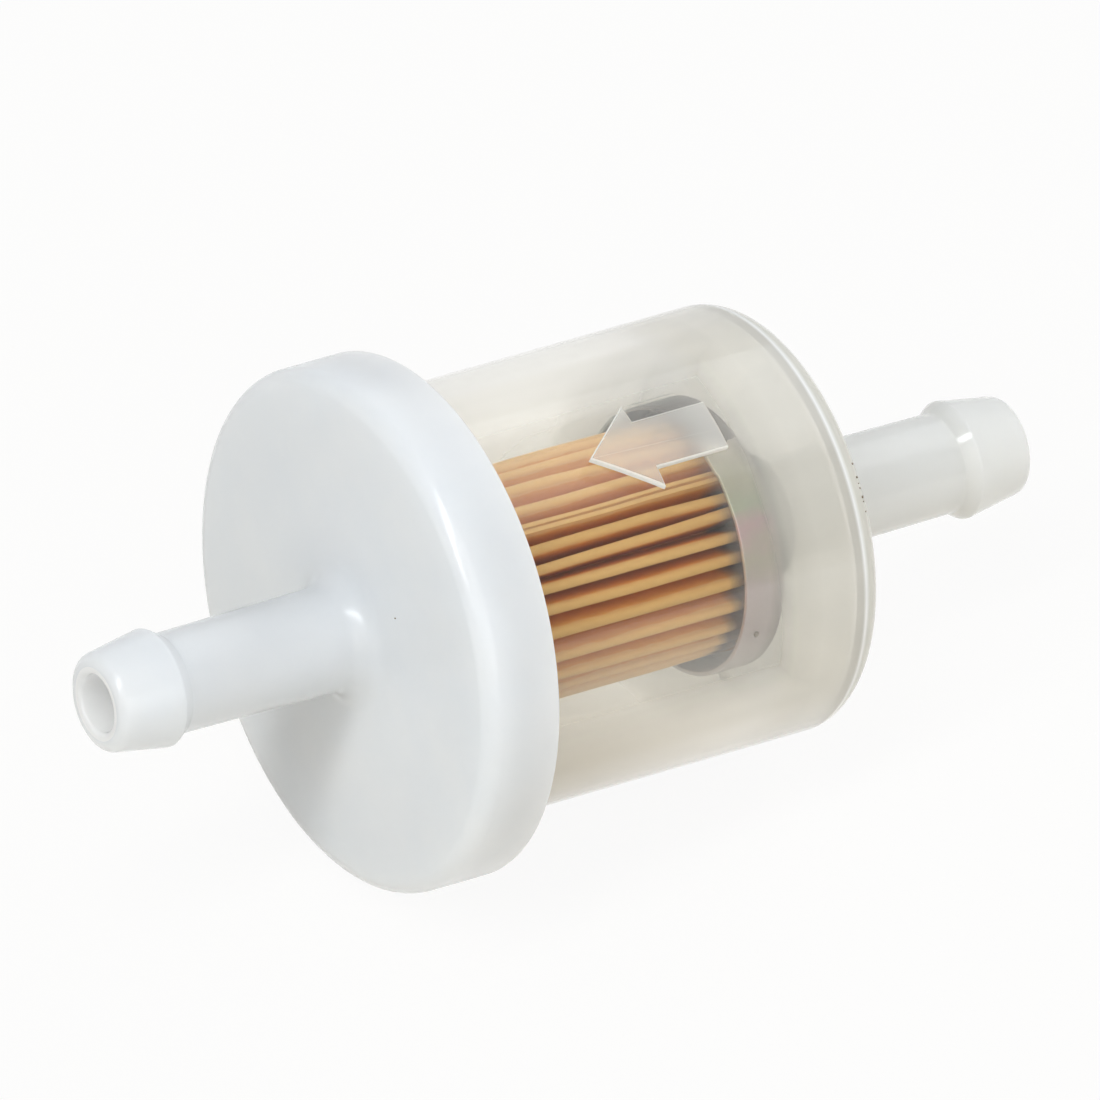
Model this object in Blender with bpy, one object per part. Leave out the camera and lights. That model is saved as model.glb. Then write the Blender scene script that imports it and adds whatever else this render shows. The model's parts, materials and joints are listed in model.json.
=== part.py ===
"""Inline fuel filter with a white outlet cap, a clear bowl and a pleated paper element.

Fuel enters by the barb on the bowl, passes inwards through the paper and leaves by the
barb on the cap. Units are metres. Every piece is modelled along one lathe axis, its own
+Z, counted from the cap's flat face towards the bowl, and hangs on the empty filter_axis,
which lays the filter down on its flange and on the far edge of the bowl.
"""

import math

import bmesh
import bpy
from mathutils import Matrix, Vector

MM = 0.001

# Outlet cap
FLANGE_DIAMETER = 34.0 * MM
FLANGE_DEPTH = 5.3 * MM
FLANGE_FRONT_ROUND = 1.1 * MM
SKIRT_WALL = 1.6 * MM
CAP_WALL = 2.2 * MM
CAP_ROOT_FILLET = 1.8 * MM
SPIGOT_DIAMETER = 5.8 * MM
SPIGOT_LENGTH = 3.2 * MM

# Bowl
BOWL_DIAMETER = 27.8 * MM
BOWL_WALL = 1.4 * MM
BOWL_REACH = 31.6 * MM
BOWL_END_ROUND = 1.6 * MM
BOWL_INNER_ROUND = 0.8 * MM
BOWL_ROOT_FILLET = 1.0 * MM
BOWL_LIP_THICKNESS = 2.5 * MM
WELD_GAP = 0.3 * MM

# Hose barbs, the same on cap and bowl
BARB_LENGTH = 18.2 * MM
RIDGE_DISTANCE = 13.95 * MM
RIDGE_DIAMETER = 7.7 * MM
RIDGE_BACK = 0.9 * MM
STEM_DIAMETER = 6.5 * MM
STEM_DRAFT = 0.15 * MM
TIP_DIAMETER = 6.3 * MM
TIP_ROUND = 0.9 * MM
BORE_DIAMETER = 3.8 * MM

# Raised flow arrow on the bowl
ARROW_TIP = 13.4 * MM
ARROW_HEAD_LENGTH = 4.1 * MM
ARROW_HEAD_WIDTH = 6.2 * MM
ARROW_SHAFT_LENGTH = 5.3 * MM
ARROW_SHAFT_WIDTH = 3.5 * MM
ARROW_RELIEF = 0.4 * MM
ARROW_TURN = math.radians(22.6)

# Filter element
ELEMENT_END_CLEARANCE = 2.9 * MM
END_CAP_DIAMETER = 16.6 * MM
END_CAP_SKIRT = 3.0 * MM
END_CAP_SHEET = 0.3 * MM
END_CAP_ROUND = 0.6 * MM
POTTING_THICKNESS = 0.8 * MM
PAPER_THICKNESS = 0.28 * MM
PLEAT_COUNT = 32
PLEAT_BUNCHES = 4
PLEAT_BUNCHING = math.radians(3.0)
SEAM_TURN = math.radians(25.3)
SEAM_OPEN_DEPTH = 1.4 * MM
SEAM_SLIT = 0.08 * MM
CORE_DIAMETER = 8.4 * MM
CORE_WALL = 0.4 * MM
CORE_HOLE_DIAMETER = 1.6 * MM
CORE_HOLE_ROWS = 5
CORE_HOLES_AROUND = 6
CORE_END_LAND = 1.8 * MM
GLUE_GAP = 0.3 * MM

# Rubber grommet between the spigot and the element
GROMMET_WALL = 0.7 * MM
GROMMET_LIP_THICKNESS = 0.8 * MM
GROMMET_LIP_HEIGHT = 0.8 * MM
GROMMET_GAP = 0.3 * MM

# Facets round the axis, always with one flat facet at the bottom
HOUSING_FACETS = 48
ELEMENT_FACETS = 36
SMALL_FACETS = 24
EDGE_BREAK = 0.2 * MM
ARC_STEP = math.radians(24.0)

# Seats along the axis
BOWL_SEAT = CAP_WALL + WELD_GAP
GROMMET_SEAT = CAP_WALL + GROMMET_GAP
ELEMENT_SEAT = GROMMET_SEAT + GROMMET_LIP_THICKNESS + GROMMET_GAP
ELEMENT_LENGTH = BOWL_REACH - BOWL_WALL - ELEMENT_END_CLEARANCE - ELEMENT_SEAT
POTTING_DEPTH = END_CAP_SHEET + GLUE_GAP
PAPER_DEPTH = POTTING_DEPTH + POTTING_THICKNESS + GLUE_GAP
PAPER_LENGTH = ELEMENT_LENGTH - 2 * PAPER_DEPTH

# Radii that follow from the fits
POTTING_RADIUS = END_CAP_DIAMETER / 2 - END_CAP_SHEET - GLUE_GAP
PAPER_OUTER_RADIUS = POTTING_RADIUS
PAPER_INNER_RADIUS = CORE_DIAMETER / 2 + GLUE_GAP
GROMMET_INNER_RADIUS = SPIGOT_DIAMETER / 2 + GROMMET_GAP
GROMMET_GROOVE_RADIUS = GROMMET_INNER_RADIUS + GROMMET_WALL
GROMMET_LIP_RADIUS = GROMMET_GROOVE_RADIUS + GROMMET_LIP_HEIGHT
END_CAP_HOLE_RADIUS = GROMMET_GROOVE_RADIUS + GROMMET_GAP


def clear_scene():
    for old in list(bpy.data.objects):
        bpy.data.objects.remove(old, do_unlink=True)


def make_material(name, color, roughness, metallic=0.0, transmission=0.0):
    material = bpy.data.materials.new(name)
    material.use_nodes = True
    material.diffuse_color = (*color, 1.0)
    shader = material.node_tree.nodes["Principled BSDF"]
    shader.inputs["Base Color"].default_value = (*color, 1.0)
    shader.inputs["Roughness"].default_value = roughness
    shader.inputs["Metallic"].default_value = metallic
    shader.inputs["Transmission Weight"].default_value = transmission
    return material


def fillet_outline(corners, closed=True):
    """Outline through (radius, height, round) corners, with each round as a tangent arc.

    A round no larger than the edge break is a plain chamfer.
    """
    points = []
    last = len(corners) - 1
    for index, (radius, height, rounding) in enumerate(corners):
        corner = Vector((radius, height))
        at_open_end = not closed and index in (0, last)
        if rounding == 0 or at_open_end:
            points.append(corner)
            continue
        before = Vector(corners[index - 1][:2]) - corner
        after = Vector(corners[(index + 1) % len(corners)][:2]) - corner
        half_angle = before.angle(after) / 2
        reach = min(rounding / math.tan(half_angle), 0.48 * before.length, 0.48 * after.length)
        arc_radius = reach * math.tan(half_angle)
        before.normalize()
        after.normalize()
        centre = corner + (before + after).normalized() * arc_radius / math.sin(half_angle)
        spoke = corner + before * reach - centre
        sweep = math.copysign(math.pi - 2 * half_angle, before.cross(after))
        steps = 1 if rounding <= EDGE_BREAK else max(2, round(abs(sweep) / ARC_STEP))
        for step in range(steps + 1):
            points.append(centre + Matrix.Rotation(-sweep * step / steps, 2) @ spoke)
    return points


def barb_corners(face, direction):
    """Corners of a hose barb's outside, from its tip back to the face that it stands on."""
    return [
        (TIP_DIAMETER / 2, face + direction * BARB_LENGTH, TIP_ROUND),
        (RIDGE_DIAMETER / 2, face + direction * RIDGE_DISTANCE, EDGE_BREAK),
        (STEM_DIAMETER / 2, face + direction * (RIDGE_DISTANCE - RIDGE_BACK), EDGE_BREAK),
    ]


def cap_outline():
    """Half section of the outlet cap, from its flat face at height 0."""
    bore = BORE_DIAMETER / 2
    skirt = FLANGE_DIAMETER / 2 - SKIRT_WALL
    spigot_end = CAP_WALL + SPIGOT_LENGTH
    corners = [
        (bore, -BARB_LENGTH, EDGE_BREAK),
        *barb_corners(0.0, -1),
        (STEM_DIAMETER / 2 + STEM_DRAFT, 0.0, CAP_ROOT_FILLET),
        (FLANGE_DIAMETER / 2, 0.0, FLANGE_FRONT_ROUND),
        (FLANGE_DIAMETER / 2, FLANGE_DEPTH, EDGE_BREAK),
        (skirt, FLANGE_DEPTH, EDGE_BREAK),
        (skirt, CAP_WALL, EDGE_BREAK),
        (SPIGOT_DIAMETER / 2, CAP_WALL, EDGE_BREAK),
        (SPIGOT_DIAMETER / 2, spigot_end, EDGE_BREAK),
        (bore, spigot_end, EDGE_BREAK),
    ]
    return fillet_outline(corners)


def bowl_outline():
    """Half section of the bowl, from its open mouth at height 0."""
    bore = BORE_DIAMETER / 2
    outside = BOWL_DIAMETER / 2
    inside = outside - BOWL_WALL
    lip = FLANGE_DIAMETER / 2 - SKIRT_WALL - WELD_GAP
    end = BOWL_REACH - BOWL_SEAT
    corners = [
        (bore, end + BARB_LENGTH, EDGE_BREAK),
        *barb_corners(end, 1),
        (STEM_DIAMETER / 2 + STEM_DRAFT, end, BOWL_ROOT_FILLET),
        (outside, end, BOWL_END_ROUND),
        (outside, BOWL_LIP_THICKNESS, EDGE_BREAK),
        (lip, BOWL_LIP_THICKNESS, EDGE_BREAK),
        (lip, 0.0, EDGE_BREAK),
        (inside, 0.0, EDGE_BREAK),
        (inside, end - BOWL_WALL, BOWL_INNER_ROUND),
        (bore, end - BOWL_WALL, EDGE_BREAK),
    ]
    return fillet_outline(corners)


def turn_outline(outline, facets, closed=True):
    """Mesh made by turning a half section once round the axis, with a flat facet at local +X."""
    bm = bmesh.new()
    start = -math.pi / facets
    verts = [bm.verts.new((p.x * math.cos(start), p.x * math.sin(start), p.y)) for p in outline]
    pairs = list(zip(verts, verts[1:]))
    if closed:
        pairs.append((verts[-1], verts[0]))
    edges = [bm.edges.new(pair) for pair in pairs]
    bmesh.ops.spin(bm, geom=verts + edges, axis=(0, 0, 1), cent=(0, 0, 0),
                   angle=2 * math.pi, steps=facets, use_merge=True)
    bmesh.ops.remove_doubles(bm, verts=bm.verts, dist=0.001 * MM)
    return finish_mesh(bm)


def finish_mesh(bm):
    """Mesh with its faces pointing out and its round faces shaded smooth."""
    bmesh.ops.recalc_face_normals(bm, faces=bm.faces)
    mesh = bpy.data.meshes.new("piece")
    bm.to_mesh(mesh)
    bm.free()
    mesh.shade_smooth()
    mesh.set_sharp_from_angle(angle=math.radians(35.0))
    return mesh


def add_piece(name, mesh, material, parent, seat=0.0):
    """Object on the filter's axis, with its own zero at the given seat."""
    mesh.name = name
    mesh.materials.append(material)
    piece = bpy.data.objects.new(name, mesh)
    bpy.context.collection.objects.link(piece)
    piece.parent = parent
    piece.location.z = seat
    return piece


def add_cutter(name, mesh, parent, seat=0.0):
    """Helper object for a Boolean, left out of the model itself."""
    mesh.name = name
    cutter = bpy.data.objects.new(name, mesh)
    bpy.context.collection.objects.link(cutter)
    cutter.parent = parent
    cutter.location.z = seat
    cutter.display_type = "WIRE"
    cutter.hide_render = True
    return cutter


def add_boolean(piece, other, operation):
    boolean = piece.modifiers.new(other.name, "BOOLEAN")
    boolean.object = other
    boolean.operation = operation
    boolean.solver = "EXACT"


def ring_outline(inner, outer, bottom, top):
    """Half section of a plain tube."""
    return [Vector(p) for p in ((inner, bottom), (outer, bottom), (outer, top), (inner, top))]


def arrow_prism():
    """Flow arrow as a straight prism that stands through the bowl's wall."""
    head_back = ARROW_TIP + ARROW_HEAD_LENGTH
    shaft_end = head_back + ARROW_SHAFT_LENGTH
    head = ARROW_HEAD_WIDTH / 2
    shaft = ARROW_SHAFT_WIDTH / 2
    outline = [
        (0.0, ARROW_TIP), (head, head_back), (shaft, head_back), (shaft, shaft_end),
        (-shaft, shaft_end), (-shaft, head_back), (-head, head_back),
    ]
    foot = BOWL_DIAMETER / 2 - BOWL_WALL
    rise = 2 * BOWL_WALL + ARROW_RELIEF
    bm = bmesh.new()
    bottom = bm.faces.new([bm.verts.new((foot, across, along)) for across, along in outline])
    raised = bmesh.ops.extrude_face_region(bm, geom=[bottom])["geom"]
    bmesh.ops.translate(bm, vec=(rise, 0, 0), verts=[v for v in raised if isinstance(v, bmesh.types.BMVert)])
    bmesh.ops.rotate(bm, verts=bm.verts, matrix=Matrix.Rotation(math.pi + ARROW_TURN, 3, "Z"))
    return finish_mesh(bm)


def add_arrow(bowl, parent):
    """Raise the flow arrow from the bowl, with a top that follows the bowl's curve."""
    arrow = add_cutter("arrow_relief", arrow_prism(), parent)
    mid_wall = BOWL_DIAMETER / 2 - BOWL_WALL / 2
    top = BOWL_DIAMETER / 2 + ARROW_RELIEF
    sleeve_end = BOWL_REACH - BOWL_END_ROUND
    sleeve = ring_outline(mid_wall, top, FLANGE_DEPTH, sleeve_end)
    limit = add_cutter("arrow_limit", turn_outline(sleeve, HOUSING_FACETS), parent)
    add_boolean(arrow, limit, "INTERSECT")
    add_boolean(bowl, arrow, "UNION")


def fold_points(radius, angle, bend, sweep, outwards):
    """Pairs of points on the paper's outer and inner face round one fold."""
    centre = Vector((radius * math.cos(angle), radius * math.sin(angle)))
    steps = 4 if outwards else 2
    half = PAPER_THICKNESS / 2
    pairs = []
    for step in range(steps + 1):
        turn = sweep * (step / steps - 0.5)
        heading = angle + turn if outwards else angle + math.pi - turn
        spoke = Vector((math.cos(heading), math.sin(heading)))
        side = half if outwards else -half
        pairs.append((centre + spoke * (bend + side), centre + spoke * (bend - side)))
    return pairs


def seam_points(angle):
    """Pairs of points round the fin where the paper's two glued ends stand side by side."""
    spoke = Vector((math.cos(angle), math.sin(angle)))
    across = Vector((-spoke.y, spoke.x))
    tip = spoke * PAPER_OUTER_RADIUS
    slit = spoke * (PAPER_INNER_RADIUS + SEAM_OPEN_DEPTH)
    return [(tip + across * side * PAPER_THICKNESS, slit + across * side * SEAM_SLIT / 2)
            for side in (-1, 1)]


def pleat_angle(index):
    """Angle of an outer fold: even steps from the seam, drawn together in a few bunches."""
    step = 2 * math.pi / PLEAT_COUNT
    bunching = PLEAT_BUNCHING * (math.cos(PLEAT_BUNCHES * index * step) - 1)
    return math.pi + SEAM_TURN + index * step + bunching


def paper_mesh():
    """Pleated paper: a zigzag strip with rounded folds, drawn up along the axis."""
    sweep = math.radians(160.0)
    pairs = []
    for index in range(PLEAT_COUNT):
        here = pleat_angle(index)
        following = pleat_angle(index + 1)
        width = following - here
        outer_bend = max(PAPER_OUTER_RADIUS * width / 4, 0.6 * PAPER_THICKNESS)
        inner_bend = max(PAPER_INNER_RADIUS * width / 4, 0.6 * PAPER_THICKNESS)
        outer_centre = PAPER_OUTER_RADIUS - PAPER_THICKNESS / 2 - outer_bend
        inner_centre = PAPER_INNER_RADIUS + PAPER_THICKNESS / 2 + inner_bend
        if index == 0:
            pairs += seam_points(here)
        else:
            pairs += fold_points(outer_centre, here, outer_bend, sweep, True)
        pairs += fold_points(inner_centre, (here + following) / 2, inner_bend, sweep, False)
    bm = bmesh.new()
    outer = [bm.verts.new((*pair[0], 0.0)) for pair in pairs]
    inner = [bm.verts.new((*pair[1], 0.0)) for pair in pairs]
    faces = []
    for index in range(len(pairs)):
        previous = index - 1
        faces.append(bm.faces.new((outer[previous], outer[index], inner[index], inner[previous])))
    raised = bmesh.ops.extrude_face_region(bm, geom=faces)["geom"]
    top = [item for item in raised if isinstance(item, bmesh.types.BMVert)]
    bmesh.ops.translate(bm, vec=(0, 0, PAPER_LENGTH), verts=top)
    return finish_mesh(bm)


def cup_outline():
    """Half section of the closed inlet end cap, from the skirt's open edge at height 0."""
    outside = END_CAP_DIAMETER / 2
    inside = outside - END_CAP_SHEET
    floor = END_CAP_SKIRT - END_CAP_SHEET
    inner_round = END_CAP_ROUND - END_CAP_SHEET
    corners = [
        (0.0, END_CAP_SKIRT, 0.0), (outside, END_CAP_SKIRT, END_CAP_ROUND), (outside, 0.0, 0.0),
        (inside, 0.0, 0.0), (inside, floor, inner_round), (0.0, floor, 0.0),
    ]
    return fillet_outline(corners, closed=False)


def ring_cup_outline():
    """Half section of the outlet end cap, pierced for the grommet, from its outside face."""
    outside = END_CAP_DIAMETER / 2
    inside = outside - END_CAP_SHEET
    inner_round = END_CAP_ROUND - END_CAP_SHEET
    corners = [
        (END_CAP_HOLE_RADIUS, 0.0, 0.0), (outside, 0.0, END_CAP_ROUND), (outside, END_CAP_SKIRT, 0.0),
        (inside, END_CAP_SKIRT, 0.0), (inside, END_CAP_SHEET, inner_round),
        (END_CAP_HOLE_RADIUS, END_CAP_SHEET, 0.0),
    ]
    return fillet_outline(corners)


def grommet_outline():
    """Half section of the grommet, with the groove that the outlet end cap's edge sits in."""
    groove_start = GROMMET_LIP_THICKNESS
    groove_end = groove_start + END_CAP_SHEET + 2 * GROMMET_GAP
    top = groove_end + GROMMET_LIP_THICKNESS
    corners = [
        (GROMMET_INNER_RADIUS, 0.0, EDGE_BREAK), (GROMMET_LIP_RADIUS, 0.0, EDGE_BREAK),
        (GROMMET_LIP_RADIUS, groove_start, EDGE_BREAK), (GROMMET_GROOVE_RADIUS, groove_start, 0.0),
        (GROMMET_GROOVE_RADIUS, groove_end, 0.0), (GROMMET_LIP_RADIUS, groove_end, EDGE_BREAK),
        (GROMMET_LIP_RADIUS, top, EDGE_BREAK), (GROMMET_INNER_RADIUS, top, EDGE_BREAK),
    ]
    return fillet_outline(corners)


def core_hole_mesh():
    """Round punches for the core's holes, in rows that are turned by half a step in turn."""
    bm = bmesh.new()
    pitch = (PAPER_LENGTH - 2 * CORE_END_LAND) / (CORE_HOLE_ROWS - 1)
    step = 2 * math.pi / CORE_HOLES_AROUND
    for row in range(CORE_HOLE_ROWS):
        height = CORE_END_LAND + row * pitch
        for column in range(CORE_HOLES_AROUND):
            turn = Matrix.Rotation((column + 0.5 * (row % 2)) * step, 4, "Z")
            move = Matrix.Translation((CORE_DIAMETER / 2, 0, height))
            lay = Matrix.Rotation(math.pi / 2, 4, "Y")
            bmesh.ops.create_cone(bm, cap_ends=True, segments=8, radius1=CORE_HOLE_DIAMETER / 2,
                                  radius2=CORE_HOLE_DIAMETER / 2, depth=4 * CORE_WALL,
                                  matrix=turn @ move @ lay)
    return finish_mesh(bm)


def lying_pose(cap, bowl):
    """Tilt and place of the axis when the filter lies on its flange and the bowl's far edge."""
    flat = math.cos(math.pi / HOUSING_FACETS)
    cap_points = [(p.x * flat, p.y) for p in cap]
    bowl_points = [(p.x * flat, p.y + BOWL_SEAT) for p in bowl]
    tilt = max(min(math.atan2(a[0] - b[0], b[1] - a[1]) for b in bowl_points if b[1] > a[1])
               for a in cap_points)
    points = cap_points + bowl_points
    right = max(z * math.cos(tilt) + r * math.sin(tilt) for r, z in points)
    left = min(z * math.cos(tilt) - r * math.sin(tilt) for r, z in points)
    height = max(r * math.cos(tilt) + z * math.sin(tilt) for r, z in points)
    return tilt, Vector((-(left + right) / 2, 0.0, height))


def build():
    clear_scene()
    white_nylon = make_material("white_nylon", (0.71, 0.73, 0.74), 0.38)
    clear_nylon = make_material("clear_nylon", (0.80, 0.74, 0.63), 0.28, transmission=0.7)
    filter_paper = make_material("filter_paper", (0.55, 0.33, 0.17), 0.85)
    zinc_steel = make_material("zinc_steel", (0.55, 0.52, 0.48), 0.35, metallic=1.0)
    potting_resin = make_material("potting_resin", (0.42, 0.24, 0.12), 0.6)
    black_rubber = make_material("black_rubber", (0.03, 0.03, 0.03), 0.7)

    cap = cap_outline()
    bowl = bowl_outline()
    tilt, place = lying_pose(cap, bowl)
    axis = bpy.data.objects.new("filter_axis", None)
    bpy.context.collection.objects.link(axis)
    axis.location = place
    axis.rotation_euler.y = math.pi / 2 + tilt

    add_piece("outlet_cap", turn_outline(cap, HOUSING_FACETS), white_nylon, axis)
    bowl_piece = add_piece("bowl", turn_outline(bowl, HOUSING_FACETS), clear_nylon, axis, BOWL_SEAT)
    add_arrow(bowl_piece, axis)

    add_piece("seal_grommet", turn_outline(grommet_outline(), SMALL_FACETS), black_rubber, axis,
              GROMMET_SEAT)
    add_piece("outlet_end_cap", turn_outline(ring_cup_outline(), ELEMENT_FACETS), zinc_steel, axis,
              ELEMENT_SEAT)
    potting = ring_outline(GROMMET_LIP_RADIUS + GLUE_GAP, POTTING_RADIUS, 0.0, POTTING_THICKNESS)
    add_piece("outlet_potting", turn_outline(potting, ELEMENT_FACETS), potting_resin, axis,
              ELEMENT_SEAT + POTTING_DEPTH)
    paper_seat = ELEMENT_SEAT + PAPER_DEPTH
    add_piece("paper_element", paper_mesh(), filter_paper, axis, paper_seat)
    core = ring_outline(CORE_DIAMETER / 2 - CORE_WALL, CORE_DIAMETER / 2, 0.0, PAPER_LENGTH)
    core_tube = add_piece("core_tube", turn_outline(core, SMALL_FACETS), zinc_steel, axis, paper_seat)
    add_boolean(core_tube, add_cutter("core_holes", core_hole_mesh(), axis, paper_seat), "DIFFERENCE")
    disc = [Vector((0.0, 0.0)), Vector((POTTING_RADIUS, 0.0)),
            Vector((POTTING_RADIUS, POTTING_THICKNESS)), Vector((0.0, POTTING_THICKNESS))]
    add_piece("inlet_potting", turn_outline(disc, ELEMENT_FACETS, closed=False), potting_resin, axis,
              paper_seat + PAPER_LENGTH + GLUE_GAP)
    add_piece("inlet_end_cap", turn_outline(cup_outline(), ELEMENT_FACETS, closed=False), zinc_steel,
              axis, ELEMENT_SEAT + ELEMENT_LENGTH - END_CAP_SKIRT)


build()
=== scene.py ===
# %% [markdown]
# # Dressing an inline fuel filter
# The CAD model already holds every solid at its real size. This lesson gives it its looks:
# milky white nylon, a hazy clear bowl, pleated filter paper and zinc plated steel. The pieces
# that show are modelled again with finer rounds; hidden ones keep their solids and get a finish.

# %% Load the frame
import json
import math

import bmesh
import bpy
from mathutils import Matrix, Vector, noise


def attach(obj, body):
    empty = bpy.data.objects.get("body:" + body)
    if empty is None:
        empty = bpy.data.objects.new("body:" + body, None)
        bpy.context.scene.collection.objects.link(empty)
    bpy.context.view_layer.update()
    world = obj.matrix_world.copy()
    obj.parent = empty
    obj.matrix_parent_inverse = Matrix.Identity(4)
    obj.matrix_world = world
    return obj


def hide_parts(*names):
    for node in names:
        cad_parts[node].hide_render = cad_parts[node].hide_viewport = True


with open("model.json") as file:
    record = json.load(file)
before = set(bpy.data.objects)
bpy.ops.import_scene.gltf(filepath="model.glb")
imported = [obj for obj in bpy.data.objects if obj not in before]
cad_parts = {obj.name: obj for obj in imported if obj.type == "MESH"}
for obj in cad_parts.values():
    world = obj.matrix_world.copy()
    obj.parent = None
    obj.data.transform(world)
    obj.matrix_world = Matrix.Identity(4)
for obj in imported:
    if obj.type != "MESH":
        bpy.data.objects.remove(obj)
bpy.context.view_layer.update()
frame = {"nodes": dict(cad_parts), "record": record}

MM = 0.001

# %% [markdown]
# ## The lathe axis
# Nearly every piece of this filter is turned, so all of them are modelled round one axis, with
# +Z along it, and then laid down together. The two hose stops in the record are flat faces
# square to that axis, so they give its direction and its place. Local +X is the side that the
# filter lies on.

# %% Find the axis
stops = {mount["name"]: mount for mount in frame["record"]["mounts"]}
axis_way = -Vector(stops["outlet_hose_stop"]["axis"]).normalized()
under_side = Vector((axis_way.z, 0.0, -axis_way.x))
HOSE_STOP_RADIUS = 10.0 * MM
cap_centre = Vector(stops["outlet_hose_stop"]["pos_m"]) - under_side * HOSE_STOP_RADIUS
bowl_centre = Vector(stops["inlet_hose_stop"]["pos_m"])
BOWL_REACH = (bowl_centre - cap_centre).dot(axis_way)

lathe = Matrix((under_side, Vector((0, 1, 0)), axis_way)).transposed().to_4x4()
lathe.translation = cap_centre
print("From cap face to bowl end in mm:", round(BOWL_REACH / MM, 2))

# %% [markdown]
# ## Outlines with true rounds
# A moulded piece has no sharp corner. An outline here is a short list of corners, each with the
# radius of its round, and this helper swaps each corner for a tangent arc. That keeps the list
# readable and lets a round be changed by one number.

# %% Round the corners of an outline
def round_outline(corners, arc_step=math.radians(9.0)):
    points = []
    for index, (radius, height, rounding) in enumerate(corners):
        corner = Vector((radius, height))
        if rounding == 0:
            points.append(corner)
            continue
        before = Vector(corners[index - 1][:2]) - corner
        after = Vector(corners[(index + 1) % len(corners)][:2]) - corner
        half_angle = before.angle(after) / 2
        reach = min(rounding / math.tan(half_angle), 0.49 * before.length, 0.49 * after.length)
        arc_radius = reach * math.tan(half_angle)
        before.normalize()
        after.normalize()
        centre = corner + (before + after).normalized() * arc_radius / math.sin(half_angle)
        spoke = corner + before * reach - centre
        sweep = math.copysign(math.pi - 2 * half_angle, before.cross(after))
        steps = max(3, round(abs(sweep) / arc_step))
        points += [centre + Matrix.Rotation(-sweep * step / steps, 2) @ spoke
                   for step in range(steps + 1)]
    return points


# %% [markdown]
# ## Turning
# Blender's spin sweeps a wire round an axis, as a lathe does. The solids of the frame have 48
# flats; a smooth piece is turned to the circle that fits inside those flats, so that it stays
# within the solid's box.

# %% Turn an outline into a piece
FLATS = 48
INSIDE_FLATS = math.cos(math.pi / FLATS)
SAME_POINT = 0.0005 * MM


def mesh_from(bm, name):
    bmesh.ops.recalc_face_normals(bm, faces=bm.faces)
    mesh = bpy.data.meshes.new(name)
    bm.to_mesh(mesh)
    bm.free()
    mesh.shade_smooth()
    return mesh


def turned_mesh(name, outline, turns, shrink=INSIDE_FLATS, open_ends=False):
    bm = bmesh.new()
    verts = [bm.verts.new((p.x * shrink, 0.0, p.y)) for p in outline]
    pairs = list(zip(verts, verts[1:]))
    if not open_ends:
        pairs.append((verts[-1], verts[0]))
    edges = [bm.edges.new(pair) for pair in pairs]
    bmesh.ops.spin(bm, geom=verts + edges, axis=(0, 0, 1), cent=(0, 0, 0),
                   angle=2 * math.pi, steps=turns, use_merge=True)
    bmesh.ops.remove_doubles(bm, verts=bm.verts, dist=SAME_POINT)
    return mesh_from(bm, name)


laid_down = []


def lay_down(mesh, material):
    piece = bpy.data.objects.new(mesh.name, mesh)
    bpy.context.collection.objects.link(piece)
    piece.matrix_world = lathe
    mesh.materials.append(material)
    laid_down.append(piece)
    print(piece.name, "has", len(mesh.polygons), "faces")
    return piece


# %% [markdown]
# ## Building materials from nodes
# Each finish is one Principled shader with a few textures plugged into it. Small helpers keep
# the recipes short: one adds a node with its settings, others make a colour ramp or mix two
# colours. A Mix node keeps sockets for every kind of value, so those for colours go by number.
# Colours that change along the filter or round it need places measured on the lathe's axes, so
# a Mapping node turns each place back to them.

# %% Material helpers
def new_finish(name):
    material = bpy.data.materials.new(name)
    material.use_nodes = True
    tree = material.node_tree
    return material, tree, tree.nodes["Principled BSDF"]


def add_node(tree, kind, inputs=None, **settings):
    node = tree.nodes.new(kind)
    for key, value in settings.items():
        setattr(node, key, value)
    for key, value in (inputs or {}).items():
        if isinstance(value, bpy.types.NodeSocket):
            tree.links.new(value, node.inputs[key])
        else:
            node.inputs[key].default_value = value
    return node


def lathe_place(tree):
    place = add_node(tree, "ShaderNodeTexCoord").outputs["Object"]
    turned_back = add_node(tree, "ShaderNodeMapping", {
        "Vector": place, "Location": lathe.translation, "Rotation": lathe.to_euler()},
        vector_type="TEXTURE")
    return turned_back.outputs["Vector"]


def add_ramp(tree, factor, stops):
    ramp = add_node(tree, "ShaderNodeValToRGB", {"Fac": factor})
    elements = ramp.color_ramp.elements
    while len(elements) < len(stops):
        elements.new(0.5)
    for element, (position, color) in zip(elements, stops):
        element.position = position
        element.color = (*color, 1.0)
    return ramp.outputs["Color"]


MIX_INPUTS = (0, 6, 7)
MIX_RESULT = 2


def mix_colors(tree, share, first, second):
    mixed = add_node(tree, "ShaderNodeMix", data_type="RGBA")
    for number, value in zip(MIX_INPUTS, (share, first, second)):
        if isinstance(value, tuple):
            mixed.inputs[number].default_value = (*value, 1.0)
        else:
            tree.links.new(value, mixed.inputs[number])
    return mixed.outputs[MIX_RESULT]


def axis_distance(tree, place):
    flat = add_node(tree, "ShaderNodeVectorMath", {0: place, 1: (1.0, 1.0, 0.0)}, operation="MULTIPLY")
    return add_node(tree, "ShaderNodeVectorMath", {0: flat.outputs["Vector"]},
                    operation="LENGTH").outputs["Value"]


def add_noise(tree, place, scale, detail=2.0, roughness=0.5):
    node = add_node(tree, "ShaderNodeTexNoise",
                    {"Vector": place, "Scale": scale, "Detail": detail, "Roughness": roughness})
    return node.outputs["Fac"]


def add_bump(tree, height, strength, distance):
    node = add_node(tree, "ShaderNodeBump",
                    {"Height": height, "Strength": strength, "Distance": distance})
    return node.outputs["Normal"]


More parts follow.
